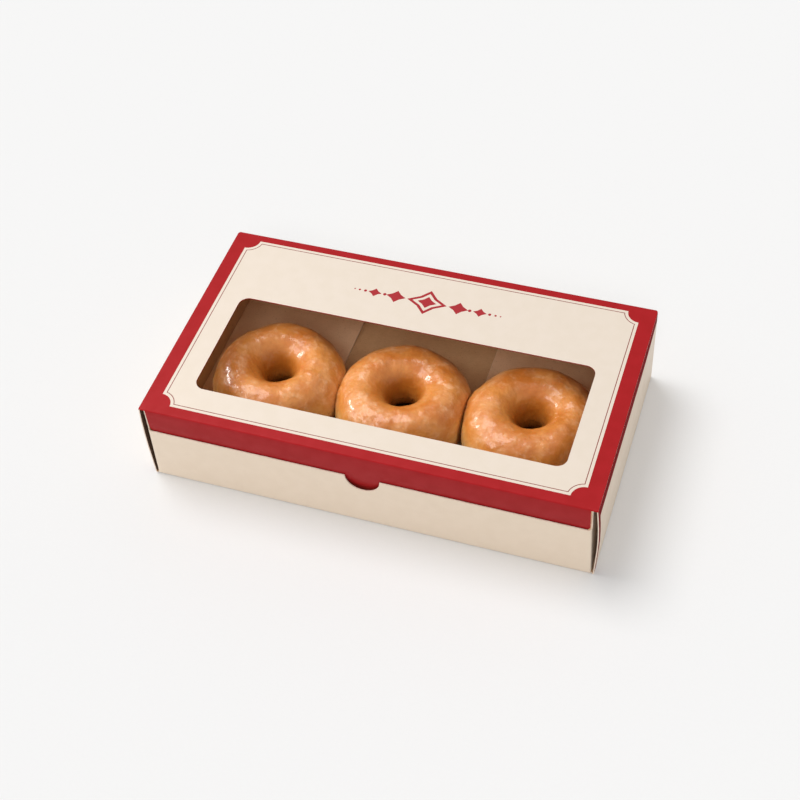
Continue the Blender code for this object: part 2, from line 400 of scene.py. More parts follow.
class NodeSheet:
    """A material's node tree, with short ways to add what the finishes need."""

    def __init__(self, name: str) -> None:
        """Starts a material with one Principled shader, reading Object coordinates.

        Args:
            name: the material's name.
        """
        self.material = bpy.data.materials.new(name)
        self.material.use_nodes = True
        self.tree = self.material.node_tree
        self.shader = self.tree.nodes["Principled BSDF"]
        self.places = self.tree.nodes.new("ShaderNodeTexCoord").outputs["Object"]

    def link(self, source: Socket, target: Socket) -> None:
        """Links two sockets."""
        self.tree.links.new(source, target)

    def feed(self, value: object, target: Socket) -> None:
        """Links a socket, or sets a plain value.

        Args:
            value: a socket or a plain value.
            target: the socket that gets it.
        """
        if isinstance(value, Socket):
            self.link(value, target)
        elif isinstance(value, tuple) and len(value) == 3 and len(target.default_value) == 4:
            target.default_value = (*value, 1)
        else:
            target.default_value = value

    def add(self, kind: str, inputs: dict[str | int, object], **settings: object) -> bpy.types.Node:
        """Adds a node.

        Args:
            kind: its type, without the usual beginning.
            inputs: what its sockets get, by name or number.
            settings: its other settings.

        Returns:
            The node.
        """
        node = self.tree.nodes.new(f"ShaderNode{kind}")
        for key, value in settings.items():
            setattr(node, key, value)
        for key, value in inputs.items():
            self.feed(value, node.inputs[key])
        return node

    def stretched(self, scale: Place, location: Place = (0, 0, 0)) -> Socket:
        """Object coordinates, moved and stretched."""
        inputs = {"Vector": self.places, "Scale": scale, "Location": location}
        return self.add("Mapping", inputs).outputs["Vector"]

    def grain(
        self,
        size: float,
        detail: float = 3,
        rough: float = 0.5,
        places: Socket | None = None,
        distortion: float = 0,
    ) -> Socket:
        """Noise between 0 and 1.

        Args:
            size: the rough size of a blotch, in metres.
            detail: how many finer layers it has.
            rough: how strong the finer layers are.
            places: the coordinates, or None for the object's.
            distortion: how far it is stirred.

        Returns:
            The noise's socket.
        """
        inputs = {"Vector": places or self.places, "Scale": 1 / size, "Detail": detail}
        inputs |= {"Roughness": rough, "Distortion": distortion}
        return self.add("TexNoise", inputs).outputs["Fac"]

    def spot(self, centre: Place, reach: float) -> Socket:
        """A round spot: 1 at its centre, falling to 0 at its reach in metres."""
        places = self.stretched((1 / reach,) * 3, tuple(-value / reach for value in centre))
        return self.add("TexGradient", {"Vector": places}, gradient_type="SPHERICAL").outputs["Fac"]

    def attribute(self, name: str) -> Socket:
        """A number that the mesh carries."""
        return self.add("Attribute", {}, attribute_name=name).outputs["Fac"]

    def fit(self, value: Socket, low: float, high: float, to_low: float = 0, to_high: float = 1) -> Socket:
        """Maps a range of a value smoothly to another range, and holds it there."""
        inputs = {"Value": value, "From Min": low, "From Max": high, "To Min": to_low, "To Max": to_high}
        return self.add("MapRange", inputs, interpolation_type="SMOOTHSTEP").outputs["Result"]

    def math(self, operation: str, first: object, second: object) -> Socket:
        """One step of arithmetic."""
        return self.add("Math", {0: first, 1: second}, operation=operation).outputs["Value"]

    def blend(self, share: object, first: object, second: object) -> Socket:
        """Blends two colours."""
        inputs = {"Factor": share, MIX_FIRST: first, MIX_SECOND: second}
        return self.add("Mix", inputs, data_type="RGBA").outputs[MIX_RESULT]

    def bands(self, value: Socket, stops: tuple[tuple[float, Colour], ...]) -> Socket:
        """Colours along a value, with a stop for each change.

        Args:
            value: the place along the bands.
            stops: each stop's place and colour.

        Returns:
            The colour's socket.
        """
        node = self.add("ValToRGB", {"Fac": value})
        elements = node.color_ramp.elements
        while len(elements) < len(stops):
            elements.new(1)
        for element, (place, colour) in zip(elements, stops):
            element.position = place
            element.color = (*colour, 1)
        return node.outputs["Color"]

    def bump(self, height: Socket, strength: float, distance: float, under: Socket | None = None) -> Socket:
        """Relief from a height, over another relief if there is one.

        Args:
            height: the relief's height.
            strength: how strongly it shows, up to 1.
            distance: how high it is, in metres.
            under: the relief below it, or None.

        Returns:
            The normal's socket.
        """
        inputs = {"Strength": strength, "Distance": distance, "Height": height}
        if under is not None:
            inputs["Normal"] = under
        return self.add("Bump", inputs).outputs["Normal"]

    def finish(self, **sockets: object) -> Material:
        """Feeds the shader's sockets, whose names are given with underscores for spaces.

        Args:
            sockets: what each of the shader's sockets gets.

        Returns:
            The material.
        """
        for key, value in sockets.items():
            self.feed(value, self.shader.inputs[key.replace("_", " ")])
        return self.material


@dataclass(frozen=True)
class PrintedBoard:
    """Smooth coated board with ink on it: faint mottle, fibres under the coating, half gloss."""

    name: str
    ink: Colour
    second_ink: Colour
    roughness: float = 0.42
    specular: float = 0.25
    mottle: float = 9 * MM
    fibre: float = 0.35 * MM

    def material(self) -> Material:
        """The finish as a material.

        Returns:
            The finish's material.
        """
        sheet = NodeSheet(self.name)
        cloud = sheet.grain(self.mottle, detail=4)
        fibre = sheet.grain(self.fibre, detail=2, places=sheet.stretched((1, 0.45, 0.45)))
        colour = sheet.blend(sheet.fit(cloud, 0.3, 0.7), self.ink, self.second_ink)
        shine = sheet.fit(cloud, 0.25, 0.75, self.roughness - 0.05, self.roughness + 0.05)
        relief = sheet.bump(fibre, 0.12, 0.02 * MM)
        return sheet.finish(
            Base_Color=colour, Roughness=shine, Specular_IOR_Level=self.specular, Normal=relief
        )


@dataclass(frozen=True)
class KraftBoard:
    """Raw brown board: long pale and dark fibres, specks, no gloss, and grease with painted shade under each
    doughnut.
    """

    name: str
    pale: Colour
    dark: Colour
    speck: Colour
    # Near-black: partly grease, mostly painted shade under the doughnuts' holes.
    grease_and_shade: Colour = (0.045, 0.02, 0.008)
    grease_and_shade_centres: tuple[Place, ...] = (
        (-83.6 * MM, -2.6 * MM, 0),
        (-1.0 * MM, 0.4 * MM, 0),
        (82.9 * MM, 2.4 * MM, 0),
    )
    grease_and_shade_reach: float = 40 * MM
    roughness: float = 0.86

    def material(self) -> Material:
        """The finish as a material.

        Returns:
            The finish's material.
        """
        sheet = NodeSheet(self.name)
        cloud = sheet.grain(14 * MM, detail=5, rough=0.6)
        fibres = sheet.grain(0.5 * MM, detail=3, places=sheet.stretched((0.25, 1, 1)))
        specks = sheet.fit(sheet.grain(0.9 * MM, detail=1), 0.68, 0.74)
        mixed = sheet.math("ADD", sheet.math("MULTIPLY", cloud, 0.6), sheet.math("MULTIPLY", fibres, 0.4))
        board = sheet.blend(sheet.fit(mixed, 0.35, 0.65), self.dark, self.pale)
        clean = sheet.blend(sheet.math("MULTIPLY", specks, 0.5), board, self.speck)
        # A dark spot under each doughnut: partly grease, mostly painted shade where the holes look down to
        # the floor.
        grease_and_shade_spot = sheet.spot(self.grease_and_shade_centres[0], self.grease_and_shade_reach)
        for centre in self.grease_and_shade_centres[1:]:
            grease_and_shade_spot = sheet.math("MAXIMUM", grease_and_shade_spot, sheet.spot(centre, self.grease_and_shade_reach))
        spread = sheet.math("ADD", grease_and_shade_spot, sheet.fit(cloud, 0.3, 0.7, -0.05, 0.05))
        colour = sheet.blend(sheet.fit(spread, 0.3, 0.5), clean, self.grease_and_shade)
        shine = sheet.fit(fibres, 0.3, 0.7, self.roughness - 0.06, self.roughness + 0.06)
        relief = sheet.bump(fibres, 0.25, 0.04 * MM)
        return sheet.finish(Base_Color=colour, Roughness=shine, Normal=relief)


@dataclass(frozen=True)
class CutEdge:
    """A die-cut edge: layers of pressed fibre in thin lines."""

    name: str
    pale: Colour
    dark: Colour

    def material(self) -> Material:
        """The finish as a material.

        Returns:
            The finish's material.
        """
        sheet = NodeSheet(self.name)
        layers = sheet.grain(0.25 * MM, detail=2)
        along = sheet.grain(6 * MM, detail=2)
        mixed = sheet.math("ADD", sheet.math("MULTIPLY", layers, 0.5), sheet.math("MULTIPLY", along, 0.5))
        colour = sheet.blend(sheet.fit(mixed, 0.35, 0.65), self.dark, self.pale)
        relief = sheet.bump(layers, 0.3, 0.04 * MM)
        return sheet.finish(Base_Color=colour, Roughness=sheet.fit(layers, 0, 1, 0.75, 0.9), Normal=relief)


@dataclass(frozen=True)
class StudioFloor:
    """A matt pale floor with a trace of grain."""

    name: str
    paint: Colour

    def material(self) -> Material:
        """The finish as a material.

        Returns:
            The finish's material.
        """
        sheet = NodeSheet(self.name)
        grain = sheet.grain(2 * MM, detail=2)
        darker = tuple(0.995 * value for value in self.paint)
        colour = sheet.blend(sheet.fit(grain, 0.3, 0.7), darker, self.paint)
        return sheet.finish(Base_Color=colour, Roughness=0.9, Specular_IOR_Level=0.1)


def fried_colour(sheet: NodeSheet) -> Socket:
    """The colour of fried dough: golden brown, paler at the waist, darker below, and darker in the hole,
    partly the crust's own browning and partly painted shade.

    Args:
        sheet: the finish's nodes. The mesh carries "rise", its height share, and "outward", which
            is -1 in the hole, 0 on the crest and 1 outside.

    Returns:
        The colour's socket.
    """
    blotch = sheet.grain(9 * MM, detail=4, rough=0.55)
    fine = sheet.grain(2.2 * MM, detail=3)
    rise = sheet.math("ADD", sheet.attribute("rise"), sheet.fit(blotch, 0.25, 0.75, -0.07, 0.07))
    bands = sheet.bands(
        rise,
        (
            (0.02, (0.13, 0.04, 0.008)),
            (0.20, (0.50, 0.22, 0.05)),
            (0.42, (0.90, 0.635, 0.26)),
            (0.58, (0.79, 0.43, 0.125)),
            (0.78, (0.61, 0.22, 0.038)),
            (1.00, (0.54, 0.165, 0.026)),
        ),
    )
    patchy = sheet.blend(
        sheet.fit(sheet.grain(15 * MM, detail=2), 0.38, 0.64, 0, 0.5), bands, (0.70, 0.30, 0.075)
    )
    speckled = sheet.blend(sheet.fit(fine, 0.38, 0.7, 0, 0.2), patchy, (0.47, 0.14, 0.026))
    # Inside the hole the colour darkens to a deep brown: partly the crust's own browning, partly painted
    # shade for the hole's depth.
    hole_browning_and_shade = sheet.fit(sheet.attribute("outward"), -0.56, -0.97)
    return sheet.blend(sheet.math("MULTIPLY", hole_browning_and_shade, 0.94), speckled, (0.36, 0.10, 0.008))


@dataclass(frozen=True)
class FriedCrust:
    """The bare crust of fried dough: matt, finely blistered."""

    name: str

    def material(self) -> Material:
        """The finish as a material.

        Returns:
            The finish's material.
        """
        sheet = NodeSheet(self.name)
        colour = fried_colour(sheet)
        blisters = sheet.grain(1.4 * MM, detail=3)
        relief = sheet.bump(blisters, 0.4, 0.2 * MM)
        return sheet.finish(
            Base_Color=colour,
            Roughness=sheet.fit(blisters, 0.3, 0.7, 0.42, 0.62),
            Subsurface_Weight=0.12,
            Subsurface_Radius=(1.0, 0.45, 0.2),
            Subsurface_Scale=2.0 * MM,
            Normal=relief,
        )


@dataclass(frozen=True)
class SugarGlaze:
    """A thin set glaze: the crust shows through it, milky in soft patches and pale flecks, the flecks partly
    painted highlight, and wet-looking elsewhere.
    """

    name: str
    haze: Colour = (0.82, 0.42, 0.18)
    # The flecks' colour: partly milky glaze, partly painted highlight.
    sugar_and_sheen: Colour = (0.90, 0.59, 0.36)

    def material(self) -> Material:
        """The finish as a material.

        Returns:
            The finish's material.
        """
        sheet = NodeSheet(self.name)
        crust = fried_colour(sheet)
        top = sheet.fit(sheet.attribute("outward"), -0.6, -0.1)
        pools = sheet.grain(10 * MM, detail=4, rough=0.55, distortion=0.5)
        stirred = sheet.grain(4.2 * MM, detail=3, rough=0.5, distortion=0.6)
        hazy = sheet.math("MULTIPLY", sheet.fit(pools, 0.4, 0.7), 0.3)
        flecks = sheet.math("MULTIPLY", sheet.fit(stirred, 0.46, 0.74), sheet.fit(pools, 0.36, 0.6))
        veiled = sheet.blend(sheet.math("MULTIPLY", hazy, top), crust, self.haze)
        # Pale flecks on the top: partly milky glaze, partly painted highlight.
        milk_and_sheen = sheet.math("MULTIPLY", sheet.math("MULTIPLY", flecks, 0.3), top)
        colour = sheet.blend(milk_and_sheen, veiled, self.sugar_and_sheen)
        ripple = sheet.bump(stirred, 0.5, 0.5 * MM)
        relief = sheet.bump(sheet.grain(1.5 * MM, detail=3, distortion=0.4), 0.8, 0.24 * MM, under=ripple)
        return sheet.finish(
            Base_Color=colour,
            Roughness=sheet.fit(flecks, 0, 0.7, 0.33, 0.48),
            Subsurface_Weight=0.15,
            Subsurface_Radius=(1.0, 0.5, 0.25),
            Subsurface_Scale=2.0 * MM,
            IOR=1.45,
            Coat_Weight=0.38,
            Coat_Roughness=0.1,
            Normal=relief,
        )


@dataclass(frozen=True)
class Palette:
    """Every finish of the carton and the doughnuts."""

    cream: PrintedBoard = PrintedBoard("cream_print", (0.79, 0.66, 0.525), (0.77, 0.64, 0.505))
    lid_cream: PrintedBoard = PrintedBoard("lid_cream_print", (0.685, 0.598, 0.51), (0.67, 0.583, 0.49))
    red: PrintedBoard = PrintedBoard("red_print", (0.35, 0.011, 0.014), (0.325, 0.009, 0.011), 0.4, 0.1)
    rule: PrintedBoard = PrintedBoard("rule_print", (0.24, 0.045, 0.035), (0.22, 0.04, 0.03))
    ornament: PrintedBoard = PrintedBoard("ornament_print", (0.36, 0.018, 0.024), (0.33, 0.014, 0.02))
    margin: PrintedBoard = PrintedBoard("margin_print", (0.21, 0.006, 0.008), (0.19, 0.005, 0.007), 0.7, 0.03)
    kraft: KraftBoard = KraftBoard(
        "kraft_inside", (0.68, 0.43, 0.22), (0.59, 0.36, 0.18), (0.29, 0.145, 0.065)
    )
    # Painted shade: near-black kraft on the side walls' inner faces at the front, for the shadow in the gap
    # behind the corner flaps.
    painted_shade_kraft: KraftBoard = KraftBoard(
        "kraft_shaded", (0.10, 0.05, 0.025), (0.075, 0.036, 0.018), (0.04, 0.02, 0.01)
    )
    pale_kraft: KraftBoard = KraftBoard(
        "kraft_flap", (0.88, 0.60, 0.37), (0.80, 0.53, 0.31), (0.38, 0.21, 0.10)
    )
    cut: CutEdge = CutEdge("cut_board_edge", (0.86, 0.72, 0.60), (0.68, 0.53, 0.42))
    crust: FriedCrust = FriedCrust("fried_crust")
    glaze: SugarGlaze = SugarGlaze("sugar_glaze")


@dataclass
class BoardStock:
    """The board that the carton is folded from, as materials in the order of BoardFace."""

    palette: Palette
    materials: dict[str, Material] = field(default_factory=dict)

    def get(self, name: str) -> Material:
        """One of the palette's finishes as a material, made once.

        Args:
            name: the finish's field in the palette.

        Returns:
            The material.
        """
        if name not in self.materials:
            self.materials[name] = getattr(self.palette, name).material()
        return self.materials[name]

    def slots(self, outside: str, trim: str, trim_inside: str = "kraft") -> list[Material]:
        """A folded board's material slots, for its print, a second print and what lies behind that."""
        inside, cut = self.get("kraft"), self.get("cut")
        return [self.get(outside), self.get(trim), inside, self.get(trim_inside), cut, cut]


# Carton

FACES_OF_SHEET = 2


@dataclass(frozen=True)
class CartonPlan:
    """The carton's driving sizes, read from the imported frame."""

    half_length: float
    front: float
    rear: float
    wall_top: float
    lid_top: float
    crease: Vector

    @classmethod
    def from_frame(cls) -> "CartonPlan":
        """Reads the sizes from the tray, the lid and the joint.

        Returns:
            The plan.
        """
        lid_low, lid_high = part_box("lid")
        tray_low, tray_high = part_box("tray")
        joint = next(joint for joint in frame["joints"] if joint["name"] == "lid_hinge")
        return cls(
            half_length=lid_high.x,
            front=tray_low.y,
            rear=tray_high.y,
            wall_top=tray_high.z,
            lid_top=lid_high.z,
            crease=Vector(joint["pos_m"]),
        )

    @property
    def board(self) -> float:
        """The board's thickness."""
        return 2 * (self.lid_top - self.crease.z)


@dataclass
class TrayShell:
    """Floor, rear wall, side walls, front wall and the flaps inside the front corners, in one board."""

    plan: CartonPlan
    stock: BoardStock
    fold: float = 1.0 * MM
    fold_steps: int = 4
    swell: dict[Side, float] = field(default_factory=lambda: {Side.LEFT: 0.75 * MM, Side.RIGHT: 1.42 * MM})
    swell_run: float = 50 * MM
    swell_peak: float = 0.55
    swell_levels: tuple[float, ...] = (0.12, 0.25, 0.38, 0.5, 0.62, 0.75, 0.87)
    swell_steps: int = 6
    front_height: float = 41.3 * MM
    front_half_top: float = 137.2 * MM
    front_half_base: float = 138.1 * MM
    flap_depth: float = 34 * MM
    flap_bottom: float = 1.7 * MM
    flap_corner: float = 6 * MM
    flap_fold: float = 0.8 * MM
    fillet: float = 1.6 * MM
    fillet_steps: int = 6
    notch_radius: float = 10.8 * MM
    notch_steps: int = 24
    red_margin_top: float = 7.5 * MM
    red_margin_front: float = 4.2 * MM
    shaded_margin: float = 5.5 * MM
    rear_lip: float = 0.45 * MM

    def build(self) -> None:
        """Folds the board, prints its margins and gives it its thickness."""
        piece = self.fold_walls()
        self.fold_front(piece)
        self.turn_in_flaps(piece)
        self.shape_front_top(piece)
        self.divide_side_walls(piece)
        floor_end = self.plan.half_length - self.fold + NEAR
        piece.turn_outwards(lambda p: abs(p.z) < NEAR and abs(p.x) < floor_end, (0, 0, -1))
        self.swell_side_walls(piece)
        piece.dress(*self.stock.slots("cream", "margin", "painted_shade_kraft"))
        piece.thicken(self.plan.board, FACES_OF_SHEET)
        self.print_margins(piece)
        piece.smooth(BOARD_SMOOTHING)
        piece.hand_over(Body.CARTON, "cream_board", "tray")

    def fold_walls(self) -> Workpiece:
        """The floor with its side and rear walls, their folds rounded.

        Returns:
            The board, still without its front wall.
        """
        plan, half, inner_front = self.plan, self.plan.half_length, self.plan.front + self.fold
        piece = Workpiece.block("carton_tray", (-half, inner_front, 0), (half, plan.rear, plan.wall_top))
        piece.edit()
        for axis, level in ((2, plan.wall_top), (1, inner_front)):
            piece.pick("FACE", lambda p: abs(p[axis] - level) < NEAR)
            piece.delete("FACE")
        piece.pick_rim(lambda p: True)
        bpy.ops.mesh.select_all(action="INVERT")
        piece.bevel(self.fold, self.fold_steps)
        flat = half - self.fold
        for side in Side:
            piece.pick_rim(lambda p: abs(p.y - inner_front) < NEAR and side.value * p.x > flat - NEAR)
            piece.extrude((0, -self.fold, 0))
        piece.pick_rim(lambda p: p.y > plan.rear - NEAR and p.z > plan.wall_top - NEAR)
        piece.move((0, 0, self.rear_lip))
        return piece

    def fold_front(self, piece: Workpiece) -> None:
        """The front wall, folded up from the floor and narrower towards its top.

        Args:
            piece: the tray's board.
        """
        inner_front, flat = self.plan.front + self.fold, self.plan.half_length - self.fold
        for side in Side:
            piece.pick("FACE", lambda p: p.z < NEAR and abs(p.x) < flat + NEAR)
            piece.bisect((side.value * self.front_half_base, 0, 0), (1, 0, 0))
        base = self.front_half_base + NEAR
        piece.pick_rim(lambda p: p.y < inner_front + NEAR and p.z < NEAR and abs(p.x) < base)
        piece.spin(90, (0, inner_front, self.fold), (1, 0, 0), self.fold_steps)
        piece.extrude((0, 0, self.flap_bottom - self.fold))
        piece.extrude((0, 0, self.front_height - self.flap_bottom))
        piece.resize((self.front_half_top / self.front_half_base, 1, 1), (0, 0, self.front_height))

    def turn_in_flaps(self, piece: Workpiece) -> None:
        """The flaps that run back from the ends of the front wall, higher than it, inside the side walls.

        Args:
            piece: the tray's board.
        """
        plan = self.plan
        rear = plan.front + self.flap_depth
        for side in Side:

            def at_end(place: Vector) -> bool:
                """Whether a place is on this end of the front wall."""
                beside = self.front_half_top - NEAR < side.value * place.x < self.front_half_base + NEAR
                return beside and abs(place.y - plan.front) < NEAR and place.z > self.flap_bottom - NEAR

            piece.pick_rim(at_end)
            piece.extrude((0, self.flap_depth, 0))
            piece.pick("EDGE", at_end)
            piece.bevel(self.flap_fold, 3)
            piece.pick_rim(
                lambda p: side.value * p.x > self.front_half_top - NEAR
                and p.y < rear + NEAR
                and abs(p.z - self.front_height) < NEAR
            )
            piece.extrude((0, 0, plan.wall_top - self.front_height))
            piece.pick(
                "VERT",
                lambda p: abs(p.y - rear) < NEAR
                and side.value * p.x > 0
                and (p.z < self.flap_bottom + NEAR or p.z > plan.wall_top - NEAR),
            )
            piece.bevel(self.flap_corner, 1, affect="VERTICES")

    def shape_front_top(self, piece: Workpiece) -> None:
        """The front wall's top edge: its thumb notch, and the fillets where it runs up into the flaps.

        Args:
            piece: the tray's board.
        """
        plan, fold_start = self.plan, self.front_half_top - self.flap_fold
        for side in Side:
            for place in (fold_start - self.fillet, self.notch_radius):
                piece.pick("FACE", lambda p: abs(p.y - plan.front) < NEAR and p.z > self.flap_bottom - NEAR)
                piece.bisect((side.value * place, 0, 0), (1, 0, 0))
        ends = (-self.notch_radius, self.notch_radius)
        self.lay_on_arc(piece, ends, Vector((0, self.front_height)), (180, 360), self.notch_steps)
        for side in Side:
            start = side.value * (fold_start - self.fillet)
            centre = Vector((start, self.front_height + self.fillet))
            ends, angles = (start, side.value * fold_start), (270, 270 + 90 * side.value)
            self.lay_on_arc(piece, ends, centre, angles, self.fillet_steps)
            piece.pick(
                "VERT",
                lambda p: side.value * p.x > fold_start + NEAR
                and p.y < plan.front + self.flap_fold + NEAR
                and abs(p.z - self.front_height) < NEAR,
            )
            piece.move((0, 0, self.fillet))

    def lay_on_arc(
        self,
        piece: Workpiece,
        ends: tuple[float, float],
        centre: Vector,
        angles: tuple[float, float],
        steps: int,
    ) -> None:
        """Divides a stretch of the front wall's top edge and lays it along an arc.

        Args:
            piece: the tray.
            ends: the stretch's ends along X.
            centre: the arc's centre, as X and Z.
            angles: the arc's first and last angle in degrees.
            steps: how many parts it has.
        """
        level = self.front_height
        radius = (Vector((ends[0], level)) - centre).length

        def on_stretch(place: Vector) -> bool:
            """Whether a place lies on the stretch."""
            return abs(place.z - level) < NEAR and min(ends) - NEAR < place.x < max(ends) + NEAR

        piece.pick("EDGE", on_stretch)
        bpy.ops.mesh.subdivide(number_cuts=steps - 1)
        for step in range(1, steps + 1):
            x = ends[0] + (ends[1] - ends[0]) * step / steps
            angle = math.radians(angles[0] + (angles[1] - angles[0]) * step / steps)
            target = centre + radius * Vector((math.cos(angle), math.sin(angle)))
            piece.pick("VERT", lambda p: on_stretch(p) and abs(p.x - x) < NEAR)
            piece.move((target.x - x, 0, target.y - level))

    def divide_side_walls(self, piece: Workpiece) -> None:
        """Cuts the side walls into strips, so that they can swell, and along their red margins.

        Args:
            piece: the tray's board.
        """
        plan, wall = self.plan, self.plan.half_length - NEAR
        levels = [plan.wall_top * share for share in self.swell_levels]
        levels.append(plan.wall_top - self.red_margin_top)
        places = [plan.front + self.red_margin_front, plan.front + self.shaded_margin]
        strip = self.swell_run / self.swell_steps
        places += [plan.rear - strip * (step + 1) for step in range(self.swell_steps)]
        cuts = [((0, 0, level), (0, 0, 1)) for level in levels]
        cuts += [((0, place, 0), (0, 1, 0)) for place in places]
        for place, normal in cuts:
            piece.pick("FACE", lambda p: abs(p.x) > wall)
            piece.bisect(place, normal)
        close_all()

    def swell_side_walls(self, piece: Workpiece) -> None:
        """Lets the side walls stand out, most above half height and away from the rear fold.

        Args:
            piece: the tray's board.
        """
        plan = self.plan
        peak_power = math.log(0.5) / math.log(self.swell_peak)

        def weigh(place: Vector, side: Side) -> float:
            """How much of the swelling a place gets.

            Args:
                place: a place on the board.
                side: the end that swells.

            Returns:
                The share, from 0 to 1.
            """
            if side.value * place.x < plan.half_length - NEAR:
                return 0
            along = min(max((plan.rear - self.fold - place.y) / self.swell_run, 0), 1)
            share = min(max(place.z / plan.wall_top, 0), 1)
            return math.sin(0.5 * math.pi * along) * math.sin(math.pi * share**peak_power)

        for side in Side:
            piece.group(side.name, lambda place: weigh(place, side))
            piece.swell(side.name, side.value * self.swell[side], direction="X")

    def print_margins(self, piece: Workpiece) -> None:
        """A darker red than the lid's runs a little way over the side walls, and their inside carries painted
        shade at the front.

        Args:
            piece: the tray's board.
        """
        plan = self.plan
        at_wall = plan.half_length - 2 * plan.board
        red_level = plan.wall_top - self.red_margin_top - NEAR
        red_front, shaded_front = plan.front + self.red_margin_front, plan.front + self.shaded_margin
        piece.edit()
        for side in Side:
            outward = (side.value, 0, 0)
            inward = (-side.value, 0, 0)
            # The last rule paints shade: near-black kraft on the side walls' inner faces at the front.
            for test, normal, slot in (
                (lambda p: p.z > red_level, outward, BoardFace.TRIM),
                (lambda p: p.y < red_front + NEAR and p.z > self.fold, outward, BoardFace.TRIM),
                (lambda p: p.y < shaded_front + NEAR and p.z > self.fold, inward, BoardFace.TRIM_INSIDE),
            ):
                piece.pick("FACE", lambda p: side.value * p.x > at_wall and test(p), normal)
                piece.dress_selected(slot)
        close_all()


@dataclass
class FloorFlap:
    """A flap of bare board on the floor, its free end a little sprung."""

    plan: CartonPlan
    stock: BoardStock
    side: Side
    free_end: float
    tone: str
    spring: float = 1.6 * MM
    clear: float = 1.4 * MM
    wall_clear: float = 1.2 * MM
    divisions: tuple[float, ...] = (0.04, 0.1, 0.2, 0.35, 0.6)
    lifts: tuple[tuple[float, float], ...] = ((0, 1), (0.04, 0.8), (0.1, 0.55), (0.2, 0.22))
    edge_round: float = 0.08 * MM
    edge_reach: float = 0.12 * MM
    smoothing: float = 30

    def build(self) -> None:
        """Models the flap and lays it on the floor."""
        plan, board = self.plan, self.plan.board
        wall = self.side.value * (plan.half_length - self.wall_clear)
        low_x, high_x = sorted((wall, self.free_end))
        piece = Workpiece.block(
            f"floor_flap_{self.side.name.lower()}",
            (low_x, plan.front + self.clear, board),
            (high_x, plan.rear - self.clear, 2 * board),
        )
        piece.edit()
        for share in self.divisions:
            place = self.free_end + (wall - self.free_end) * share
            bpy.ops.mesh.select_all(action="SELECT")
            piece.bisect((place, 0, 0), (1, 0, 0))
        for share, lift in self.lifts:
            place = self.free_end + (wall - self.free_end) * share
            piece.pick("VERT", lambda p: abs(p.x - place) < NEAR)
            piece.move((0, 0, self.spring * lift))
        piece.pick("EDGE", lambda p: abs(p.x - self.free_end) < NEAR)
        piece.bevel(self.edge_round, 1)
        piece.dress(*self.stock.slots(self.tone, "cut"))
        piece.edit()
        piece.pick("FACE", lambda p: abs(p.x - self.free_end) < self.edge_reach)
        piece.dress_selected(BoardFace.TRIM)
        piece.smooth(self.smoothing)
        piece.hand_over(Body.CARTON, "cream_board")


@dataclass(frozen=True)
class Window:
    """The lid's open window."""

    half: float = 115 * MM
    front: float = -55.2 * MM
    rear: float = 24.0 * MM
    corner: float = 6.5 * MM
    corner_steps: int = 12

    def cutter(self, low: float, high: float, spare: float = 0) -> Workpiece:
        """A block that cuts the window between two heights.

        Args:
            low: its lower end.
            high: its upper end.
            spare: how much larger it is all round.

        Returns:
            The cutter.
        """
        piece = Workpiece.block(
            "window_die",
            (-self.half - spare, self.front - spare, low),
            (self.half + spare, self.rear + spare, high),
        )
        piece.edit()
        piece.pick_along(2)
        piece.bevel(self.corner + spare, self.corner_steps)
        return piece


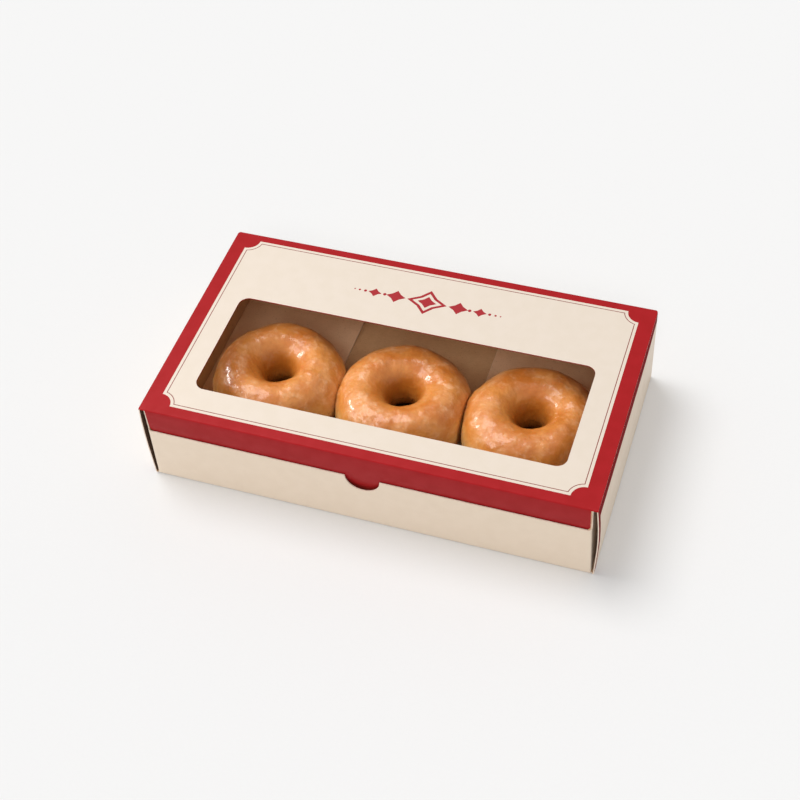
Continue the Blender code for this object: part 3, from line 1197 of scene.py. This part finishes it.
@dataclass
class LidShell:
    """The lid's panel and the tuck flap that goes down behind the front wall."""

    plan: CartonPlan
    stock: BoardStock
    window: Window = Window()
    ink: float = 0.03 * MM
    fold: float = 1.0 * MM
    fold_steps: int = 6
    crease_round: float = 0.49
    crease_reach: float = 0.6
    crease_steps: int = 5
    rear_corner: float = 2.0 * MM
    front_corner: float = 0.8 * MM
    corner_steps: int = 6
    tuck_half: float = 136.0 * MM
    tuck_half_low: float = 133.5 * MM
    tuck_length: float = 36 * MM
    tuck_lean: float = 1.15 * MM
    tuck_lean_power: float = 2.1
    tuck_corner: float = 12 * MM
    tuck_corner_steps: int = 8
    tuck_steps: int = 12
    taper: tuple[float, float] = (-3 * MM, 2 * MM)
    front_height: float = 41.3 * MM
    shoulder_drop: float = 0.76 * MM
    over: float = 4 * MM

    @property
    def top(self) -> float:
        """The board's upper face, under the ink."""
        return self.plan.lid_top - self.ink

    def lean(self, drop: float) -> float:
        """How far the tuck flap stands back at a distance below the lid's top."""
        reach = self.plan.lid_top - self.front_height
        return self.tuck_lean * (drop / reach) ** self.tuck_lean_power

    def build(self) -> None:
        """Folds, thickens and die-cuts the board."""
        piece = self.fold_sheet()
        piece.turn_outwards(lambda p: abs(p.z - self.top) < NEAR, (0, 0, 1))
        piece.dress(*self.stock.slots("red", "red"))
        piece.thicken(self.plan.board, FACES_OF_SHEET)
        self.round_crease(piece)
        self.die_cut(piece)
        piece.smooth(BOARD_SMOOTHING)
        piece.hand_over(Body.LID, "printed_board", "lid")

    def fold_sheet(self) -> Workpiece:
        """The panel with its front fold and its tuck flap, oversize at its ends.

        Returns:
            The board.
        """
        plan, wide = self.plan, self.plan.half_length + self.over
        fold_y = plan.front + self.fold
        low, high = (-wide, fold_y, self.top - self.fold), (wide, plan.rear, self.top)
        piece = Workpiece.block("carton_lid", low, high)
        piece.edit()
        piece.pick("FACE", lambda p: abs(p.z - self.top) < NEAR)
        bpy.ops.mesh.select_all(action="INVERT")
        piece.delete("FACE")
        piece.pick_rim(lambda p: abs(p.y - fold_y) < NEAR)
        piece.spin(90, (0, fold_y, self.top - self.fold), (-1, 0, 0), self.fold_steps)
        drop, lean = self.fold, 0.0
        for step in range(1, self.tuck_steps + 1):
            next_drop = self.fold + (self.tuck_length - self.fold) * step / self.tuck_steps
            next_lean = self.lean(next_drop)
            piece.extrude((0, next_lean - lean, drop - next_drop))
            drop, lean = next_drop, next_lean
        close_all()
        return piece

    def round_crease(self, piece: Workpiece) -> None:
        """Rounds the rear edge about the crease that the lid turns on.

        Args:
            piece: the lid's board.
        """
        piece.edit()
        rear = self.plan.rear
        piece.pick_along(0, lambda p: abs(p.y - rear) < NEAR)
        piece.bevel(self.crease_round * self.plan.board, self.crease_steps)
        piece.pick("FACE", lambda p: p.y > rear - self.crease_reach * self.plan.board)
        piece.dress_selected(BoardFace.PRINT)
        close_all()

    def die_cut(self, piece: Workpiece) -> None:
        """Cuts the flap's outline, the panel's corners and the window.

        Args:
            piece: the lid's board.
        """
        piece.cut(self.flap_die(), "INTERSECT", BoardFace.CUT)
        piece.cut(self.panel_die(), "INTERSECT", BoardFace.PRINT)
        piece.cut(self.window.cutter(self.top - self.over, self.top + self.over), face=BoardFace.CUT)

    def flap_die(self) -> Workpiece:
        """A solid that keeps the tuck flap's outline and the whole panel above it.

        Returns:
            The die.
        """
        low, half = self.plan.lid_top - self.tuck_length - self.over / 2, self.tuck_half_low
        taper_low, taper_high = (self.front_height + drop for drop in self.taper)
        shoulder = self.top - self.shoulder_drop
        depth = self.plan.rear + self.over
        piece = Workpiece.block("flap_die", (-half, -depth, low), (half, depth, taper_low))
        piece.edit()
        piece.pick_along(1, lambda p: abs(p.z - low) < NEAR)
        piece.bevel(self.tuck_corner, self.tuck_corner_steps)
        piece.pick("FACE", lambda p: abs(p.z - taper_low) < NEAR, (0, 0, 1))
        widths = (
            (taper_high, self.tuck_half),
            (shoulder, self.tuck_half),
            (shoulder, self.plan.half_length + 2 * self.over),
            (self.top + self.over, self.plan.half_length + 2 * self.over),
        )
        level = taper_low
        for height, next_half in widths:
            piece.extrude((0, 0, height - level))
            piece.resize((next_half / half, 1, 1), (0, 0, height))
            level, half = height, next_half
        close_all()
        return piece

    def panel_die(self) -> Workpiece:
        """A block with the panel's plan, its rear corners rounder than its front ones.

        Returns:
            The die.
        """
        plan = self.plan
        piece = Workpiece.block(
            "panel_die",
            (-plan.half_length, plan.front - self.over, 0),
            (plan.half_length, plan.rear + self.over, plan.lid_top + self.over),
        )
        piece.edit()
        piece.pick("VERT", lambda p: p.y > plan.rear)
        piece.move((0, -self.over, 0))
        for is_rear, radius in ((True, self.rear_corner), (False, self.front_corner)):
            piece.pick_along(2, lambda p: (p.y > 0) == is_rear)
            piece.bevel(radius, self.corner_steps)
        close_all()
        return piece


@dataclass
class LidPrint:
    """What is printed on the lid's red: a cream panel with notched corners, a fine rule and an ornament."""

    plan: CartonPlan
    stock: BoardStock
    window: Window = Window()
    ink: float = 0.03 * MM
    half: float = 130.5 * MM
    front: float = -73.1 * MM
    rear: float = 74.6 * MM
    corner: float = 8.0 * MM
    die_height: float = 8 * MM
    die_sides: int = 64
    rule_inset: float = 2.1 * MM
    rule_width: float = 0.5 * MM
    ornament_y: float = 49.5 * MM
    lozenge_depth: float = 0.8
    lozenge_waist: float = 0.84
    big_lozenge: tuple[float, float, float] = (13 * MM, 9.6 * MM, 6.2 * MM)
    lozenges: tuple[tuple[float, float], ...] = ((20.5 * MM, 6.4 * MM), (34.5 * MM, 4.4 * MM))
    dots: tuple[tuple[float, float], ...] = (
        (27.9 * MM, 1.1 * MM),
        (40.8 * MM, 1.0 * MM),
        (44.6 * MM, 0.75 * MM),
        (47.8 * MM, 0.5 * MM),
    )
    dot_sides: int = 24

    def plate(self, name: str, inset: float, low: float, high: float) -> Workpiece:
        """A thin plate with concave round corners.

        Args:
            name: the piece's name.
            inset: how far its outline lies inside the panel's.
            low: its underside's height.
            high: its top's height.

        Returns:
            The plate.
        """
        half, front, rear = self.half - inset, self.front + inset, self.rear - inset
        piece = Workpiece.block(name, (-half, front, low), (half, rear, high))
        for side in Side:
            for end, inward in ((self.front, 1), (self.rear, -1)):
                centre = (side.value * self.half, end, (low + high) / 2)
                radius = self.corner + inset
                piece.cut(Workpiece.rod("corner_die", centre, radius, self.die_height, self.die_sides))
        return piece

    def build(self) -> None:
        """Prints the panel, the rule and the ornament."""
        low, high = self.plan.lid_top - self.ink, self.plan.lid_top - 0.4 * self.ink
        panel = self.plate("lid_cream_panel", 0, low + 0.05 * self.ink, high)
        panel.cut(self.window.cutter(low - MM, high + MM, spare=0.02 * MM))
        panel.dress(self.stock.get("lid_cream"))
        panel.hand_over(Body.LID, "cream_board")
        half_rule, base = self.rule_width / 2, high - 0.5 * self.ink
        rule = self.plate("lid_rule", self.rule_inset - half_rule, base, self.plan.lid_top)
        rule.cut(self.plate("rule_die", self.rule_inset + half_rule, low - MM, high + MM))
        for finish, piece in (("rule", rule), ("ornament", self.ornament(base, self.plan.lid_top))):
            piece.dress(self.stock.get(finish))
            piece.hand_over(Body.LID, "printed_board")

    def lozenge(self, x: float, size: float, low: float, high: float) -> Workpiece:
        """A lozenge with slightly hollow sides, wider than it is deep.

        Args:
            x: its middle along X.
            size: half its width.
            low: its underside's height.
            high: its top's height.

        Returns:
            The lozenge.
        """
        piece = Workpiece.rod("lozenge", (x, self.ornament_y, (low + high) / 2), size, high - low, 4)
        piece.edit()
        bpy.ops.mesh.select_all(action="SELECT")
        piece.resize((1, self.lozenge_depth, 1), (x, self.ornament_y, 0))
        bpy.ops.mesh.subdivide(number_cuts=1)
        piece.pick("VERT", lambda p: 0.2 * size < abs(p.x - x) < 0.8 * size)
        piece.resize((self.lozenge_waist, self.lozenge_waist, 1), (x, self.ornament_y, 0))
        close_all()
        return piece

    def ornament(self, low: float, high: float) -> Workpiece:
        """A plain row of lozenges and dots.

        Args:
            low: the underside's height.
            high: the top's height.

        Returns:
            The ornament in one piece.
        """
        outer, hollow, core = self.big_lozenge
        middle = self.lozenge(0, outer, low, high)
        middle.cut(self.lozenge(0, hollow, low - MM, high + MM))
        parts = [self.lozenge(0, core, low, high)]
        for side in Side:
            for x, size in self.lozenges:
                parts.append(self.lozenge(side.value * x, size, low, high))
            for x, radius in self.dots:
                centre = (side.value * x, self.ornament_y, (low + high) / 2)
                parts.append(Workpiece.rod("dot", centre, radius, high - low, self.dot_sides))
        middle.join(parts)
        middle.obj.name = "lid_ornament"
        return middle


# Doughnuts


@dataclass
class Doughnut:
    """A ring doughnut: its fried crust, and the sugar glaze set over it."""

    node: str
    stock: BoardStock
    hole: float
    seed: float
    nudge: float = 0
    girth: float = 0
    ring_steps: int = 168
    tube_steps: int = 80
    glaze_thickness: float = 0.34 * MM
    glaze_bead: float = 0.22 * MM
    glaze_depth: float = 0.6 * MM
    glaze_line: float = 0.36
    lobes: tuple[Place, ...] = (
        (30 * MM, 3.0 * MM, 0.2),
        (13 * MM, 1.2 * MM, 0.4),
        (5.5 * MM, 0.3 * MM, 0.5),
    )
    ripples: tuple[tuple[float, int, float], ...] = ((7 * MM, 2, 0.6 * MM), (2.6 * MM, 1, 0.2 * MM))
    waist: float = 0.42
    sink: float = 0.06

    def __post_init__(self) -> None:
        """Reads the doughnut's place and size from its CAD node."""
        self.low, self.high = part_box(self.node)
        self.centre = (self.low + self.high) / 2 + Vector((self.nudge, 0, 0))
        self.height = self.high.z - self.low.z
        self.outer = (self.high.y - self.low.y) / 2 + self.girth
        self.crest = (self.outer + self.hole) / 2

    def build(self, press: tuple[float, float]) -> None:
        """Models the crust and then the glaze from it.

        Args:
            press: the places along X where its neighbours press it flat.
        """
        crust = self.roll_ring()
        self.make_uneven(crust, press)
        glaze = self.lift_glaze(crust)
        for piece, finish in ((crust, "crust"), (glaze, "glaze")):
            self.mark_places(piece)
            piece.dress(self.stock.get(finish))
            piece.smooth(DOUGH_SMOOTHING)
        crust.hand_over(Body.CARTON, "glazed_dough", self.node)
        glaze.hand_over(Body.CARTON, "glazed_dough")

    def roll_ring(self) -> Workpiece:
        """A ring with a round section, risen higher than it is wide, cut flat below.

        Returns:
            The ring.
        """
        base = self.low.z
        drop = self.sink * self.height
        tube = (self.outer - self.hole) / 2
        full = self.height + drop
        waist = base - drop + self.waist * full
        close_all()
        bpy.ops.mesh.primitive_torus_add(
            major_radius=self.crest,
            minor_radius=tube,
            major_segments=self.ring_steps,
            minor_segments=self.tube_steps,
            location=(self.centre.x, self.centre.y, waist),
        )
        piece = Workpiece(bpy.context.object, self.node.replace("doughnut", "crust"))
        piece.edit()
        for upper in (True, False):
            piece.pick("VERT", lambda p: (p.z > waist + NEAR) == upper and abs(p.z - waist) > NEAR)
            rise = (1 - self.waist) * full if upper else self.waist * full
            piece.resize((1, 1, rise / tube), (self.centre.x, self.centre.y, waist))
        piece.pick("VERT", lambda p: p.z < base)
        piece.resize((1, 1, 0), (self.centre.x, self.centre.y, base))
        close_all()
        return piece

    def make_uneven(self, piece: Workpiece, press: tuple[float, float]) -> None:
        """Lets the ring swell unevenly, as proof dough does, and presses it flat at its neighbours.

        Args:
            piece: the crust.
            press: the places along X where its neighbours press it flat.
        """
        base = self.low.z
        piece.group("risen", lambda p: min(max((p.z - base) / (4 * MM), 0), 1))
        for size, strength, level in self.lobes:
            piece.roughen("risen", size, 1, strength, level)
        piece.edit()
        for limit, side in zip(press, (-1, 1)):
            piece.pick("VERT", lambda p: side * (p.x - limit) > 0)
            piece.resize((0, 1, 1), (limit, self.centre.y, 0))
        close_all()

    def glaze_reach(self, place: Vector) -> float:
        """How far a place lies above the glaze's wavy lower edge, in metres.

        Args:
            place: a place on the doughnut.

        Returns:
            The height, which is negative below the edge.
        """
        angle = math.atan2(place.y - self.centre.y, place.x - self.centre.x)
        inside = math.hypot(place.x - self.centre.x, place.y - self.centre.y) < self.crest
        around = Vector((3.2 * math.cos(angle), 3.2 * math.sin(angle), self.seed + 7 * inside))
        wave = 3.4 * MM * noise.noise(around) + 1.6 * MM * noise.noise(3.1 * around)
        line = self.low.z + self.glaze_line * self.height + wave
        return place.z - line

    def lift_glaze(self, crust: Workpiece) -> Workpiece:
        """A thin shell over the crust down to a wavy line, beaded along it and rippled above.

        Args:
            crust: the finished crust.

        Returns:
            The glaze.
        """
        glaze = crust.copy(self.node.replace("doughnut", "glaze"))
        glaze.edit()
        glaze.pick("FACE", lambda p: self.glaze_reach(p) > 0)
        bpy.ops.mesh.select_all(action="INVERT")
        glaze.delete("FACE")
        close_all()
        glaze.modify("SUBSURF", levels=1, render_levels=1)
        glaze.obj.vertex_groups.clear()
        glaze.group("set", lambda p: min(max(self.glaze_reach(p) / (2.2 * MM), 0), 1))
        glaze.group("bead", lambda p: max(1 - abs(self.glaze_reach(p) - 1.6 * MM) / (1.4 * MM), 0))
        for group, strength in (("set", self.glaze_thickness), ("bead", self.glaze_bead)):
            glaze.swell(group, strength)
        for size, depth, strength in self.ripples:
            glaze.roughen("set", size, depth, strength, 0.5)
        glaze.modify("SOLIDIFY", thickness=self.glaze_depth, offset=-1)
        return glaze

    def mark_places(self, piece: Workpiece) -> None:
        """Gives the mesh the two numbers that its finish reads: "rise" and "outward".

        Args:
            piece: the crust or the glaze.
        """
        mesh = piece.obj.data
        rise = mesh.attributes.new("rise", "FLOAT", "POINT")
        outward = mesh.attributes.new("outward", "FLOAT", "POINT")
        tube = (self.outer - self.hole) / 2
        for vertex in mesh.vertices:
            reach = math.hypot(vertex.co.x - self.centre.x, vertex.co.y - self.centre.y)
            rise.data[vertex.index].value = (vertex.co.z - self.low.z) / self.height
            outward.data[vertex.index].value = (reach - self.crest) / tube


CONTACT_LEANS = (-0.4 * MM, -2.6 * MM)


# Studio


LID_PIECES = ("carton_lid", "lid_cream_panel", "lid_rule", "lid_ornament")
CARTON_PIECES = ("carton_tray", "floor_flap_left", "floor_flap_right", *LID_PIECES)


def hang_light(data: bpy.types.Light, source: Place, glints: bool) -> bpy.types.Object:
    """Puts a light in the scene.

    Args:
        data: the light.
        source: the direction that it comes from.
        glints: whether highlights show it.

    Returns:
        The light's object.
    """
    light = bpy.data.objects.new(data.name, data)
    light.rotation_euler = Vector(source).to_track_quat("Z", "Y").to_euler()
    light.visible_glossy = glints
    bpy.context.scene.collection.objects.link(light)
    return light


@dataclass(frozen=True)
class BroadSun:
    """A far light with a wide disc, for soft shadows."""

    name: str
    source: Place
    strength: float
    spread: float
    glints: bool = True

    def hang(self) -> None:
        """Adds the light, shining from its source to the carton."""
        data = bpy.data.lights.new(self.name, "SUN")
        data.energy = self.strength
        data.angle = math.radians(self.spread)
        hang_light(data, self.source, self.glints)


@dataclass(frozen=True)
class Softbox:
    """A softbox turned to the carton. It leaves the floor alone, and some pieces cast no shadow in it."""

    name: str
    place: Place
    sides: tuple[float, float]
    power: float
    glints: bool = True
    spares: tuple[str, ...] = ()
    passes: tuple[str, ...] = ()

    def hang(self, floor: bpy.types.Object) -> None:
        """Adds the light, aimed at the carton's middle.

        Args:
            floor: the floor, which this light doesn't reach.
        """
        data = bpy.data.lights.new(self.name, "AREA")
        data.shape = "RECTANGLE"
        data.size, data.size_y = self.sides
        data.energy = self.power
        light = hang_light(data, self.place, self.glints)
        light.location = self.place
        light.light_linking.receiver_collection = self.leave_out("spared", (floor.name, *self.spares))
        if self.passes:
            light.light_linking.blocker_collection = self.leave_out("passed", self.passes)

    def leave_out(self, kind: str, names: tuple[str, ...]) -> bpy.types.Collection:
        """A collection that leaves some pieces out of this light's reach or shadow.

        Args:
            kind: what they are left out of, for the collection's name.
            names: the pieces' names.

        Returns:
            The collection.
        """
        group = bpy.data.collections.new(f"{self.name}_{kind}")
        for name in names:
            group.objects.link(bpy.data.objects[name])
        for entry in group.collection_objects:
            entry.light_linking.link_state = "EXCLUDE"
        return group


@dataclass
class Studio:
    """The floor, the lights and the camera."""

    floor_size: float = 6.0
    floor_paint: Colour = (0.845, 0.845, 0.845)
    azimuth: float = 21.8996
    elevation: float = 49.0510
    roll: float = 4.8976
    camera_place: Place = (0.22521, -0.56981, 0.72932)
    lens: float = 67.2656
    ambient: float = 0.56
    ambient_tint: Colour = (1.0, 0.993, 0.985)
    suns: tuple[BroadSun, ...] = (
        BroadSun("key", (-0.50, 0.22, 1.0), 1.45, 34),
        BroadSun("fill", (0.20, -0.66, 0.74), 0.60, 26, glints=False),
    )
    softboxes: tuple[Softbox, ...] = (
        Softbox("left_softbox", (-0.70, -0.36, 0.68), (0.5, 0.35), 3.4),
        Softbox("inside_softbox", (-0.90, 0.12, 0.48), (0.21, 0.17), 3.1, True, CARTON_PIECES, CARTON_PIECES),
    )

    def build(self) -> None:
        """Sets everything up."""
        self.lay_floor()
        self.hang_lights()
        self.place_camera()

    def lay_floor(self) -> None:
        """A wide pale floor under the carton."""
        reach = self.floor_size / 2
        floor = Workpiece.block("studio_floor", (-reach, -reach, -0.02), (reach, reach, 0))
        floor.dress(StudioFloor("floor_paint", self.floor_paint).material())

    def hang_lights(self) -> None:
        """Even light all round, suns from behind left and from the camera, and softboxes for the carton."""
        scene = bpy.context.scene
        world = bpy.data.worlds.new("studio")
        scene.world = world
        world.use_nodes = True
        background = world.node_tree.nodes["Background"]
        background.inputs["Color"].default_value = (*self.ambient_tint, 1)
        background.inputs["Strength"].default_value = self.ambient
        for sun in self.suns:
            sun.hang()
        for softbox in self.softboxes:
            softbox.hang(bpy.data.objects["studio_floor"])

    def place_camera(self) -> None:
        """The camera, slightly rolled, with no shift and no depth of field."""
        turn, lift = math.radians(self.azimuth), math.radians(self.elevation)
        back = Vector((math.sin(turn) * math.cos(lift), -math.cos(turn) * math.cos(lift), math.sin(lift)))
        level = Vector((0, 0, 1)).cross(back).normalized()
        upright = back.cross(level)
        roll = math.radians(self.roll)
        right = level * math.cos(roll) - upright * math.sin(roll)
        up = back.cross(right)
        data = bpy.data.cameras.new("camera")
        data.sensor_width = 36
        data.lens = self.lens
        data.clip_start = 0.05
        camera = bpy.data.objects.new("camera", data)
        turned = Matrix((right, up, back)).transposed().to_4x4()
        camera.matrix_world = Matrix.Translation(self.camera_place) @ turned
        bpy.context.scene.collection.objects.link(camera)
        bpy.context.scene.camera = camera
        bpy.context.scene.view_settings.view_transform = "Standard"


def main() -> None:
    """Builds the carton, its lid and its doughnuts, then the studio."""
    logging.basicConfig(level=logging.INFO, format="%(message)s")
    plan = CartonPlan.from_frame()
    stock = BoardStock(Palette())
    TrayShell(plan, stock).build()
    FloorFlap(plan, stock, Side.LEFT, -55.0 * MM, "pale_kraft").build()
    FloorFlap(plan, stock, Side.RIGHT, 38.5 * MM, "pale_kraft", spring=1.0 * MM).build()
    LidShell(plan, stock).build()
    LidPrint(plan, stock).build()
    doughnuts = (
        Doughnut("doughnut_left", stock, hole=9.0 * MM, seed=1.3, nudge=-0.2 * MM, girth=1.0 * MM),
        Doughnut("doughnut_middle", stock, hole=9.4 * MM, seed=5.7, nudge=-0.6 * MM, girth=0.5 * MM),
        Doughnut("doughnut_right", stock, hole=9.0 * MM, seed=9.2, nudge=-2.4 * MM, girth=0.6 * MM),
    )
    limits = [-plan.half_length]
    for left, right, lean in zip(doughnuts, doughnuts[1:], CONTACT_LEANS):
        limits += [left.high.x + lean, right.low.x + lean]
    limits.append(plan.half_length)
    for doughnut, low, high in zip(doughnuts, limits[::2], limits[1::2]):
        doughnut.build((low, high))
    Studio().build()


if __name__ == "__main__":
    main()
